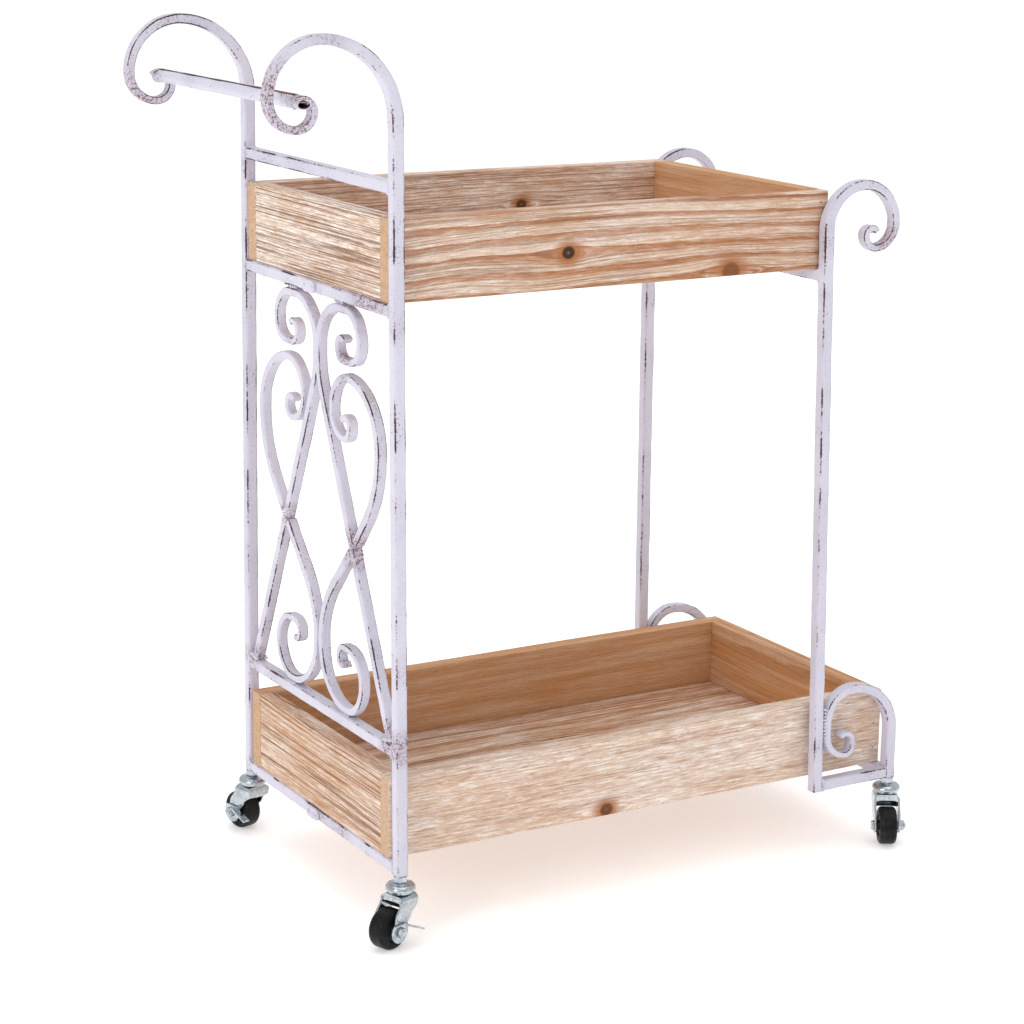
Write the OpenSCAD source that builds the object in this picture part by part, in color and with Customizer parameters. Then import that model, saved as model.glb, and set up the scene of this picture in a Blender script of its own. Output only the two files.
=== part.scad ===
// Two-tray plant trolley: welded square-bar frame with scrolled ends, wooden trays, swivel casters.
// X runs along the trolley from the handle end, Y across it, Z up. Millimetres.

/* [Frame] */
// Side of the square bar the frame is made of
bar = 12; // [8:0.5:16]
// Overall height
height = 860; // [700:5:1000]
// Length of the base over the handle posts and the far legs
base_length = 594; // [520:2:700]
// Length over the handle posts and the far posts
post_span = 500; // [420:2:560]
// Width over the posts
frame_depth = 350; // [300:2:420]
// Inward lean of all four posts, in degrees
lean = 0.84; // [0:0.02:1.2]
// Lean of the far posts towards the handle, in degrees
far_lean = 0.77; // [0:0.01:1.2]
// Height of the rail above the upper tray
grip_rail_z = 716; // [690:2:730]

/* [Handle] */
// Radius of the first bend of the handle scroll
handle_bend = 74; // [60:1:90]
// Outer diameter of the handle tube
tube_diameter = 13.4; // [11:0.2:16]
// Wall of the handle tube
tube_wall = 2.4; // [1.5:0.1:3]

/* [Side panel] */
// Width of the bars of the side panel
panel_bar = 10; // [7:0.5:12]
// Height of the underside of the side panel
panel_z = 185; // [180:1:200]

/* [Trays] */
// Height of the side boards of the upper tray
upper_board = 78; // [60:1:95]
// Height of the side boards of the lower tray
lower_board = 81; // [60:1:95]
// Length of the upper tray
upper_length = 490; // [440:2:500]
// Length of the lower tray
lower_length = 586; // [540:2:600]
// Width of the upper tray
upper_depth = 306; // [260:2:306]
// Width of the lower tray
lower_depth = 310; // [260:2:320]
// Thickness of the side boards
board = 18; // [12:0.5:22]
// Thickness of the floor planks
floor_thick = 10; // [6:0.5:14]

/* [Casters] */
// Diameter of the wheels
wheel_diameter = 40; // [34:1:44]
// Width of the tyres
tyre_width = 18; // [14:0.5:20]
// Distance from the swivel axis to the axle
trail = 17; // [12:0.5:20]

/* [View] */
// Name of the piece to draw

/* [Hidden] */
$fn = 64;
arc_step = 6;
fit = 0.05;
gap = 0.3;

base_z = 69;
upper_z = 616;
lower_z = base_z + bar;
rail_inset = 4;
half = frame_depth / 2;
post_y = half - bar;
far_x = post_span - bar;
leg_x = base_length - bar;
cup_radius = 15;
handle_radii = [handle_bend, 51, 27, 16, 11];
handle_reach = handle_bend + 51 - bar / 2 + 5;
mid_x = (base_length - bar / 2 + cup_radius - handle_reach) / 2;

tube_x = bar / 2 - handle_bend - 51 + 27 + 16 - 10.5;
tube_z = height - 59;
tube_half = half - (tube_z - base_z) * tan(lean);

upper_x = 2;
lower_x = 1;
planks = 3;
plank_gap = 0.4;
screw_y = 70;
screw_r = 1.6;
head_r = 4;
tab_y = 6.5;

axle_z = wheel_diameter / 2;
axle_r = 3;
stem_r = 4;
hub_half = tyre_width / 2 + 2.2;
leg_half = hub_half + gap;
leg_thick = 2.2;
plate_z = 49.5;
plate_thick = 2.5;
cup_z = plate_z + plate_thick + 1;
nut_z = 62.5;
nut_tall = base_z - nut_z - gap;
core_r = wheel_diameter / 2 - 6;
brake_thick = 1.6;

// x, y and resting direction of each caster; whether it carries a brake lever
near_end = bar / 2;
far_end = leg_x + bar / 2;
caster_y = half - bar / 2;
FL = [near_end, -caster_y, 200, true];
BL = [near_end, caster_y, 105, true];
FR = [far_end, -caster_y, 240, false];
BR = [far_end, caster_y, 150, false];

paint = [0.90, 0.89, 0.93];
pine = [0.77, 0.62, 0.46];
zinc = [0.66, 0.70, 0.74];
steel = [0.35, 0.33, 0.32];
black = [0.06, 0.06, 0.06];

// ---- bent bars -------------------------------------------------------------

// Points [x, y, heading] along straights [length, 0] and arcs [radius, turn]
function walk(moves, p, h, i = 0) =
    i == len(moves) ? [[p.x, p.y, h]] :
    moves[i][1] == 0
        ? concat([[p.x, p.y, h]], walk(moves, p + moves[i][0] * [cos(h), sin(h)], h, i + 1))
        : let (
            r = moves[i][0],
            turn = moves[i][1],
            s = sign(turn),
            c = p + r * s * [-sin(h), cos(h)],
            n = max(2, ceil(abs(turn) / arc_step))
        )
        concat(
            [for (k = [0:n - 1]) let (a = h + turn * k / n) [c.x + r * s * sin(a), c.y - r * s * cos(a), a]],
            walk(moves, c + r * s * [sin(h + turn), -cos(h + turn)], h + turn, i + 1)
        );

function quarters(radii, s) = [for (r = radii) [r, 90 * s]];

// Bar of width w that narrows to tip after its first straight
module bent(points, w, tip) {
    n = len(points) - 1;
    function side(i, s) =
        let (q = points[i], k = max(0, i - 1) / (n - 1), hw = s * (w + (tip - w) * k) / 2)
        [q.x - hw * sin(q.z), q.y + hw * cos(q.z)];
    polygon(concat([for (i = [0:n]) side(i, 1)], [for (i = [n:-1:0]) side(i, -1)]));
}

// Sheet in a plane along the trolley, from y0 to y0 + t
module along(y0, t) {
    translate([-mid_x, y0 + t, 0])
        rotate([90, 0, 0])
            linear_extrude(t)
                children();
}

// Sheet in a plane across the trolley, from x0 to x0 + t
module across(x0, t) {
    translate([x0 - mid_x, 0, 0])
        rotate([90, 0, 90])
            linear_extrude(t)
                children();
}

module block(x, y, z, size) {
    translate([x - mid_x, y, z])
        cube(size);
}

module rod(x, y, z, r, h) {
    translate([x - mid_x, y, z])
        cylinder(r = r, h = h);
}

// Leans a back post inwards about its foot
module leaned() {
    translate([0, half, base_z])
        rotate([lean, 0, 0])
            translate([0, -half, -base_z])
                children();
}

module front() {
    mirror([0, 1, 0])
        children();
}

// ---- frame: handle end -----------------------------------------------------

handle_rise = height - base_z - handle_bend - 5;
handle_path = walk(
    concat([[handle_rise, 0]], quarters(handle_radii, 1), [[11, 40]]),
    [bar / 2, base_z], 90
);

module handle_post() {
    color(paint)
        difference() {
            leaned()
                along(post_y, bar)
                    bent(handle_path, bar, 6.5);
            translate([tube_x - mid_x, tube_half - 2 * bar, tube_z])
                rotate([-90, 0, 0])
                    cylinder(d = tube_diameter, h = 3 * bar);
            rod(near_end, caster_y, base_z - 1, stem_r + fit, 16);
        }
}

module handle_post_front() { front() handle_post(); }
module handle_post_back() { handle_post(); }

module handle_tube() {
    color(paint)
        translate([tube_x - mid_x, tube_half, tube_z])
            rotate([90, 0, 0])
                difference() {
                    cylinder(d = tube_diameter, h = 2 * tube_half);
                    translate([0, 0, -1])
                        cylinder(d = tube_diameter - 2 * tube_wall, h = 2 * tube_half + 2);
                }
}

module rail(x, z) {
    end = post_y - (z + bar - base_z) * tan(lean);
    color(paint)
        block(x, -end, z, [bar, 2 * end, bar]);
}

// Rail the end of a tray is screwed to
module tray_rail(x, z, screw_x) {
    color(paint)
        difference() {
            rail(x, z);
            for (y = [-screw_y, screw_y])
                rod(screw_x, y, z - 1, screw_r + fit, bar + 2);
        }
}

near_screw_x = 7;
far_rail_x = far_x - (upper_z - bar - base_z) * tan(far_lean);
upper_far_x = far_rail_x + bar / 2;
lower_far_x = lower_x + lower_length - rail_inset;

module grip_rail() { rail(0, grip_rail_z); }
module upper_tray_rail_left() { tray_rail(0, upper_z - bar, near_screw_x); }
module panel_bottom_rail() { rail(0, panel_z); }
module base_rail_left() { tray_rail(0, base_z, near_screw_x); }

// Raised lugs in the middle of the two rails of the handle end
module screw_tabs() {
    color(paint)
        for (z = [upper_z - bar, base_z])
            across(-3, 3)
                translate([tab_y, z + bar / 2])
                    union() {
                        square([14, bar], center = true);
                        for (s = [-1, 1])
                            translate([s * 7, 0])
                                circle(d = bar);
                    }
}

// ---- frame: side panel -----------------------------------------------------

panel_top = upper_z - bar;
panel_floor = panel_z + bar;
panel_x = (bar - panel_bar) / 2 + 1;
node_at = [75, 369];
long_heading = 114.4;
long_path = walk(
    [[341, 0], [90, -24.4], [6, 0], [45, -90], [14, 0], [29, -90], [20, -90], [14, 0], [12, -90], [9, -130]],
    [151, panel_floor + 1], long_heading
);
upper_drop = walk(
    [[42, 0], [107, 40], [62, 90], [34, 90], [26, 90], [12, 90], [9, 140]],
    node_at, 50
);
lower_drop = walk(
    [[70, 0], [90, 42], [55, 90], [33, 90], [30, 90], [7, 0], [12, 90], [7, 120]],
    node_at, 228
);

module panel_sheet() {
    color(paint)
        across(panel_x, panel_bar)
            intersection() {
                translate([0, panel_floor])
                    square([post_y, panel_top - panel_floor]);
                children();
            }
}

module drop(path) {
    panel_sheet()
        difference() {
            bent(path, panel_bar, 7);
            bent(long_path, panel_bar, 7);
        }
}

module long_scroll() {
    panel_sheet()
        bent(long_path, panel_bar, 7);
}

module panel_scroll_front() { front() long_scroll(); }
module panel_scroll_back() { long_scroll(); }
module panel_drop_upper_front() { front() drop(upper_drop); }
module panel_drop_upper_back() { drop(upper_drop); }
module panel_drop_lower_front() { front() drop(lower_drop); }
module panel_drop_lower_back() { drop(lower_drop); }

// ---- frame: far end --------------------------------------------------------

end_path = walk(
    concat([[655 - base_z, 0]], quarters([43, 40, 24, 13, 7], -1), [[7, -60]]),
    [post_span - bar / 2, base_z], 90 + far_lean
);
leg_path = walk(
    [[54, 0], [52, 90], [32, 90], [15, 0], [24, 90], [9, 90], [5, 0], [9, 90], [8, 50]],
    [leg_x + bar / 2, base_z], 90
);

module end_post() {
    color(paint)
        leaned()
            along(post_y, bar)
                bent(end_path, bar, 7);
}

module outrigger() {
    color(paint)
        difference() {
            along(post_y, bar) {
                bent(leg_path, bar, 6);
                translate([post_span, base_z])
                    square([leg_x - post_span + 1, bar]);
            }
            rod(far_end, caster_y, base_z - 1, stem_r + fit, 16);
        }
}

module end_post_front() { front() end_post(); }
module end_post_back() { end_post(); }
module outrigger_front() { front() outrigger(); }
module outrigger_back() { outrigger(); }
module upper_tray_rail_right() { tray_rail(far_rail_x, upper_z - bar, upper_far_x); }
module base_rail_right() { tray_rail(lower_far_x - rail_inset, base_z, lower_far_x); }

// ---- trays -----------------------------------------------------------------

screw_spots = [
    [near_screw_x, upper_z], [upper_far_x, upper_z], [near_screw_x, lower_z], [lower_far_x, lower_z]
];

module screw_cut() {
    for (s = screw_spots)
        for (y = [-screw_y, screw_y])
            rod(s[0], y, s[1] - 1, screw_r + fit, 25);
}

module tray_screws() {
    color(steel)
        for (s = screw_spots)
            for (y = [-screw_y, screw_y]) {
                rod(s[0], y, s[1] - bar, screw_r, bar + 22);
                rod(s[0], y, s[1] - bar - 2, head_r, 2);
            }
}

module long_board(x, z, size, deep, tall) {
    color(pine)
        block(x, deep / 2 - board, z, [size, board, tall]);
}

module end_board(x, z, deep, tall) {
    color(pine)
        difference() {
            block(x, board - deep / 2, z, [board, deep - 2 * board, tall]);
            screw_cut();
        }
}

module plank(i, x, z, size, deep) {
    wide = (deep - 2 * board - (planks + 1) * plank_gap) / planks;
    y = board - deep / 2 + plank_gap + i * (wide + plank_gap);
    color(pine)
        block(x + board, y, z, [size - 2 * board, wide, floor_thick]);
}

module upper_front_board() { front() long_board(upper_x, upper_z, upper_length, upper_depth, upper_board); }
module upper_back_board() { long_board(upper_x, upper_z, upper_length, upper_depth, upper_board); }
module upper_left_board() { end_board(upper_x, upper_z, upper_depth, upper_board); }
module upper_right_board() { end_board(upper_x + upper_length - board, upper_z, upper_depth, upper_board); }
module upper_plank_1() { plank(0, upper_x, upper_z, upper_length, upper_depth); }
module upper_plank_2() { plank(1, upper_x, upper_z, upper_length, upper_depth); }
module upper_plank_3() { plank(2, upper_x, upper_z, upper_length, upper_depth); }
module lower_front_board() { front() long_board(lower_x, lower_z, lower_length, lower_depth, lower_board); }
module lower_back_board() { long_board(lower_x, lower_z, lower_length, lower_depth, lower_board); }
module lower_left_board() { end_board(lower_x, lower_z, lower_depth, lower_board); }
module lower_right_board() { end_board(lower_x + lower_length - board, lower_z, lower_depth, lower_board); }
module lower_plank_1() { plank(0, lower_x, lower_z, lower_length, lower_depth); }
module lower_plank_2() { plank(1, lower_x, lower_z, lower_length, lower_depth); }
module lower_plank_3() { plank(2, lower_x, lower_z, lower_length, lower_depth); }

// ---- casters ---------------------------------------------------------------

// Caster frame: swivel axis on Z, the axle lies at +X
module at(c) {
    translate([c[0] - mid_x, c[1], 0])
        rotate([0, 0, c[2]])
            children();
}

module on_axle() {
    translate([trail, 0, axle_z])
        rotate([-90, 0, 0])
            children();
}

module caster_stems() {
    color(zinc)
        for (c = [FL, BL, FR, BR])
            at(c) {
                translate([0, 0, plate_z - gap - 2])
                    cylinder(r = 7, h = 2);
                translate([0, 0, plate_z - gap - 0.01])
                    cylinder(r = stem_r, h = base_z + 14 - plate_z + gap);
            }
}

module caster_nuts() {
    color(zinc)
        for (c = [FL, BL, FR, BR])
            translate([c[0] - mid_x, c[1], nut_z])
                difference() {
                    cylinder(d = 15, h = nut_tall, $fn = 6);
                    translate([0, 0, -1])
                        cylinder(r = stem_r + fit, h = 10);
                }
}

module cup(c) {
    inner = stem_r + fit;
    lip = cup_z + 3;
    color(zinc)
        at(c)
            rotate_extrude()
                polygon([
                    [inner, nut_z], [10, nut_z], [13, nut_z - 2], [cup_radius, nut_z - 5],
                    [cup_radius, lip], [cup_radius - 1, lip], [cup_radius - 1, cup_z],
                    [cup_radius - 4, cup_z], [cup_radius - 5, cup_z + 3], [inner, cup_z + 3]
                ]);
}

module fork(c) {
    outer = leg_half + leg_thick;
    color(zinc)
        at(c)
            difference() {
                union() {
                    translate([1, 0, plate_z])
                        linear_extrude(plate_thick)
                            offset(4)
                                square([18, 2 * outer - 8], center = true);
                    // Back wall, which follows the legs down behind the wheel
                    rotate([90, 0, 0])
                        linear_extrude(2 * outer, center = true)
                            polygon([
                                [-10, plate_z + 1], [-11, plate_z - 3], [-9, plate_z - 9], [-2.1, axle_z + 14],
                                [-0.7, axle_z + 15.4], [-7.4, plate_z - 7.8], [-9, plate_z - 2.9], [-8, plate_z + 1]
                            ]);
                    // Front lip
                    translate([9.4, -outer, plate_z - 4.5])
                        cube([2, 2 * outer, 5.5]);
                    for (s = [-1, 1])
                        translate([0, s * (leg_half + leg_thick / 2) + leg_thick / 2, 0])
                            rotate([90, 0, 0])
                                linear_extrude(leg_thick) {
                                    polygon([
                                        [-10, plate_z + 1], [-11, plate_z - 3], [-9, plate_z - 9], [0, axle_z + 12],
                                        [trail - 8, axle_z + 1], [trail + 8, axle_z + 1], [trail + 4, axle_z + 11],
                                        [13, plate_z - 4], [12, plate_z + 1]
                                    ]);
                                    translate([trail, axle_z])
                                        circle(r = 8);
                                }
                }
                translate([0, 0, plate_z - 1])
                    cylinder(r = stem_r + fit, h = plate_thick + 2);
                on_axle()
                    cylinder(r = axle_r, h = 60, center = true);
            }
}

module axle(c) {
    outer = leg_half + leg_thick;
    nut = outer + (c[3] ? brake_thick + 2 * gap : 0);
    color(zinc)
        at(c)
            on_axle() {
                translate([0, 0, -outer - 2.8])
                    cylinder(r = 5, h = 2.8);
                translate([0, 0, -outer])
                    cylinder(r = axle_r, h = outer + nut + 6);
                translate([0, 0, nut])
                    cylinder(r = 5.4, h = 4.4, $fn = 6);
            }
}

module wheel_core(c) {
    color(black)
        at(c)
            on_axle()
                difference() {
                    union() {
                        cylinder(r = core_r, h = tyre_width - 3, center = true);
                        cylinder(r = 5.5, h = 2 * hub_half, center = true);
                    }
                    cylinder(r = axle_r + fit, h = 60, center = true);
                }
}

module tyre(c) {
    r = wheel_diameter / 2;
    w = tyre_width / 2;
    color(black)
        at(c)
            on_axle()
                rotate_extrude()
                    polygon([
                        [core_r, -w], [r - 3, -w], [r - 1, -w + 1.2], [r, -w + 3.5],
                        [r, w - 3.5], [r - 1, w - 1.2], [r - 3, w], [core_r, w]
                    ]);
}

// Half-moon lever with a folded pedal, turning on the axle beside the fork
module brake(c) {
    face = leg_half + leg_thick + gap;
    color(zinc)
        at(c)
            on_axle()
                translate([0, 0, face])
                    difference() {
                        union() {
                            intersection() {
                                cylinder(r = 11, h = brake_thick);
                                translate([-12, -7.5, -1])
                                    cube([24, 20, 10]);
                            }
                            translate([-5, -6, 0])
                                rotate([0, 0, 156])
                                    cube([24.5, brake_thick, 8]);
                        }
                        translate([0, 0, -1])
                            cylinder(r = axle_r + fit, h = 10);
                    }
}

module cup_fl() { cup(FL); }
module cup_bl() { cup(BL); }
module cup_fr() { cup(FR); }
module cup_br() { cup(BR); }
module fork_fl() { fork(FL); }
module fork_bl() { fork(BL); }
module fork_fr() { fork(FR); }
module fork_br() { fork(BR); }
module axle_fl() { axle(FL); }
module axle_bl() { axle(BL); }
module axle_fr() { axle(FR); }
module axle_br() { axle(BR); }
module wheel_core_fl() { wheel_core(FL); }
module wheel_core_bl() { wheel_core(BL); }
module wheel_core_fr() { wheel_core(FR); }
module wheel_core_br() { wheel_core(BR); }
module tyre_fl() { tyre(FL); }
module tyre_bl() { tyre(BL); }
module tyre_fr() { tyre(FR); }
module tyre_br() { tyre(BR); }
module brake_fl() { brake(FL); }
module brake_bl() { brake(BL); }

// ---- drawing ---------------------------------------------------------------

handle_post_front();
handle_post_back();
handle_tube();
grip_rail();
upper_tray_rail_left();
panel_bottom_rail();
base_rail_left();
screw_tabs();
panel_scroll_front();
panel_scroll_back();
panel_drop_upper_front();
panel_drop_upper_back();
panel_drop_lower_front();
panel_drop_lower_back();
end_post_front();
end_post_back();
outrigger_front();
outrigger_back();
upper_tray_rail_right();
base_rail_right();
tray_screws();
upper_front_board();
upper_back_board();
upper_left_board();
upper_right_board();
upper_plank_1();
upper_plank_2();
upper_plank_3();
lower_front_board();
lower_back_board();
lower_left_board();
lower_right_board();
lower_plank_1();
lower_plank_2();
lower_plank_3();
caster_stems();
caster_nuts();
cup_fl();
cup_bl();
cup_fr();
cup_br();
fork_fl();
fork_bl();
fork_fr();
fork_br();
axle_fl();
axle_bl();
axle_fr();
axle_br();
wheel_core_fl();
wheel_core_bl();
wheel_core_fr();
wheel_core_br();
tyre_fl();
tyre_bl();
tyre_fr();
tyre_br();
brake_fl();
brake_bl();
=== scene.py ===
import math
import random

import bmesh
import bpy
from mathutils import Matrix, Vector


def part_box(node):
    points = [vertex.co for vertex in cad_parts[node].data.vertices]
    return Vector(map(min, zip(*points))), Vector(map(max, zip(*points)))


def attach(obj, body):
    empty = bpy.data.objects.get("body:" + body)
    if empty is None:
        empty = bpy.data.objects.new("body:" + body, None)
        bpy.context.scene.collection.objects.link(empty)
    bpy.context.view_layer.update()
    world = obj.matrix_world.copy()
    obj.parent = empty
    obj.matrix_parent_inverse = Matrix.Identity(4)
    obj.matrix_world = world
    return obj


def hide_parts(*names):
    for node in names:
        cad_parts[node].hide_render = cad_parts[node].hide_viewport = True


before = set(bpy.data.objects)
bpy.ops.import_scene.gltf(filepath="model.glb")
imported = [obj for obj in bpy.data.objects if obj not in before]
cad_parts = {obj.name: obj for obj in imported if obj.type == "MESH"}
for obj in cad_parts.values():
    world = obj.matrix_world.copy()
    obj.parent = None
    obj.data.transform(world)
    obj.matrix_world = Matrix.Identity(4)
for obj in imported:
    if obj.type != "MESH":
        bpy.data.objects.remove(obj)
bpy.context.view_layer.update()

# Millimetres, in the frame as designed; MID_X is the designed X that sits at the scene's origin
MM = 0.001
MID_X = 239.5
BASE_Z = 69.0
HALF = 175.0
BAR = 12.0
PANEL_BAR = 10.0
PANEL_X = 7
TUBE_R, BORE_R = 6.6, 4.3
LEAN = math.radians(0.84)
FAR_LEAN = 0.77
RAILS = ("grip_rail", "upper_tray_rail_left", "panel_bottom_rail", "base_rail_left",
         "upper_tray_rail_right", "base_rail_right")


# ---- a small bench for node trees ------------------------------------------

class Wire:
    """A socket that Python's operators reach."""

    def __init__(self, bench, socket):
        self.bench = bench
        self.socket = socket

    def maths(self, operation, other, flip=False):
        pair = (other, self) if flip else (self, other)
        return self.bench.node("ShaderNodeMath", {"operation": operation}, {0: pair[0], 1: pair[1]})

    def __add__(self, other):
        return self.maths("ADD", other)

    def __radd__(self, other):
        return self.maths("ADD", other, True)

    def __sub__(self, other):
        return self.maths("SUBTRACT", other)

    def __rsub__(self, other):
        return self.maths("SUBTRACT", other, True)

    def __mul__(self, other):
        return self.maths("MULTIPLY", other)

    def __rmul__(self, other):
        return self.maths("MULTIPLY", other, True)

    def __truediv__(self, other):
        return self.maths("DIVIDE", other)

    def __pow__(self, other):
        return self.maths("POWER", other)


class Bench:
    """Adds nodes to one tree."""

    def __init__(self, tree):
        self.tree = tree

    def node(self, kind, settings=None, sockets=None, out=0):
        n = self.tree.nodes.new(kind)
        for key, value in (settings or {}).items():
            setattr(n, key, value)
        for key, value in (sockets or {}).items():
            if isinstance(value, Wire):
                self.tree.links.new(value.socket, n.inputs[key])
            else:
                n.inputs[key].default_value = value
        return Wire(self, n.outputs[out])

    def other(self, wire, out):
        return Wire(self, wire.socket.node.outputs[out])

    def vector(self, operation, a, b, out=0):
        return self.node("ShaderNodeVectorMath", {"operation": operation}, {0: a, 1: b}, out)

    def split(self, vector):
        x = self.node("ShaderNodeSeparateXYZ", None, {0: vector})
        return x, self.other(x, 1), self.other(x, 2)

    def join(self, x, y, z):
        return self.node("ShaderNodeCombineXYZ", None, {0: x, 1: y, 2: z})

    def noise(self, vector, scale, detail=2.0, rough=0.5):
        return self.node(
            "ShaderNodeTexNoise", None,
            {"Vector": vector, "Scale": scale, "Detail": detail, "Roughness": rough},
        )

    def step(self, value, low, high):
        return self.node(
            "ShaderNodeMapRange", {"interpolation_type": "SMOOTHSTEP"},
            {0: value, 1: low, 2: high, 3: 0.0, 4: 1.0},
        )

    def single(self, operation, value):
        return self.node("ShaderNodeMath", {"operation": operation}, {0: value})

    def least(self, a, b):
        return self.node("ShaderNodeMath", {"operation": "MINIMUM"}, {0: a, 1: b})

    def most(self, a, b):
        return self.node("ShaderNodeMath", {"operation": "MAXIMUM"}, {0: a, 1: b})

    def blend(self, amount, a, b):
        a = (*a, 1) if isinstance(a, tuple) else a
        b = (*b, 1) if isinstance(b, tuple) else b
        return self.node("ShaderNodeMix", {"data_type": "RGBA"}, {0: amount, 6: a, 7: b}, 2)


def material(name):
    m = bpy.data.materials.new(name)
    m.use_nodes = True
    bench = Bench(m.node_tree)
    shader = m.node_tree.nodes["Principled BSDF"]
    place = bench.node("ShaderNodeTexCoord", None, None, 3)
    return m, bench, shader, place


def wire_up(bench, shader, colour=None, rough=None, bump=None, depth=0.0002):
    links = bench.tree.links
    if colour is not None:
        links.new(colour.socket, shader.inputs["Base Color"])
    if rough is not None:
        links.new(rough.socket, shader.inputs["Roughness"])
    if bump is not None:
        normal = bench.node("ShaderNodeBump", None, {"Strength": 1.0, "Distance": depth, "Height": bump})
        links.new(normal.socket, shader.inputs["Normal"])


def attribute(bench, name, out=2):
    return bench.node("ShaderNodeAttribute", {"attribute_name": name}, None, out)


# ---- finishes --------------------------------------------------------------

PAINT = (0.605, 0.585, 0.695)
PAINT_SHADE = (0.525, 0.505, 0.62)
PLUM = (0.045, 0.016, 0.026)
ROSE = (0.46, 0.25, 0.29)


def worn_paint():
    """Pale paint with dark plum showing along the corners and in scuffed patches."""
    m, b, shader, place = material("worn lavender paint")
    edge = attribute(b, "edge")
    rub = attribute(b, "rub")
    run = b.noise(place, 24.0, 2.0)
    fine = b.noise(place, 420.0, 3.0, 0.65)
    grit = b.noise(place, 1100.0, 2.0, 0.6)
    cloud = b.noise(place, 9.0, 2.0)
    corner = b.step(edge + (run - 0.5) * 0.55 + (fine - 0.5) * 0.26, 0.805, 0.855)
    halo = b.step(edge + (run - 0.5) * 0.7 + (fine - 0.5) * 0.6, 0.62, 0.92)
    hot = b.step(rub + (cloud - 0.5) * 1.1 + (run - 0.5) * 0.4, 0.26, 0.72)
    flake = b.step(fine * 0.62 + grit * 0.38, 0.52, 0.55)
    dust = b.step(fine * 0.5 + grit * 0.5 + (run - 0.5) * 0.3, 0.605, 0.645)
    tone = b.blend(b.step(cloud, 0.35, 0.7), PAINT, PAINT_SHADE)
    tone = b.blend(b.step(fine, 0.30, 0.62) * 0.22, tone, (0.9, 0.88, 0.93))
    tone = b.blend(halo * 0.32, tone, ROSE)
    tone = b.blend(hot * 0.2, tone, ROSE)
    bare = b.most(b.most(corner, dust * 0.7), flake * hot * 0.9)
    tone = b.blend(bare, tone, b.blend(hot, PLUM, (0.13, 0.035, 0.055)))
    height = (1 - bare) * 0.7 + b.noise(place, 150.0, 3.0) * 0.5
    wire_up(b, shader, tone, 0.36 + bare * 0.3 + fine * 0.12, height, 0.00035)
    return m


SAP = (0.72, 0.47, 0.30)
TAN = (0.57, 0.30, 0.155)
BAND = (0.45, 0.17, 0.06)
STAIN = (0.63, 0.295, 0.10)
BROWN = (0.19, 0.078, 0.034)
WASH = (0.93, 0.85, 0.79)
DARK = (0.08, 0.036, 0.02)
END_GRAIN = (0.74, 0.50, 0.32)


def knot_pull(b, along, across, knots):
    """How far the rings step aside around each knot."""
    pull = 0.0
    for x, z, r, _ in knots:
        away = b.vector("LENGTH", b.join((along - x) * 0.42, across - z, 0.0), (0, 0, 0), 1)
        near = b.single("EXPONENT", (away / (r * 1.9)) ** 2 * -1)
        pull = near * (b.step(across - z, -0.004, 0.004) - 0.5) * (r * 1.7) + pull
    return pull


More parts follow.
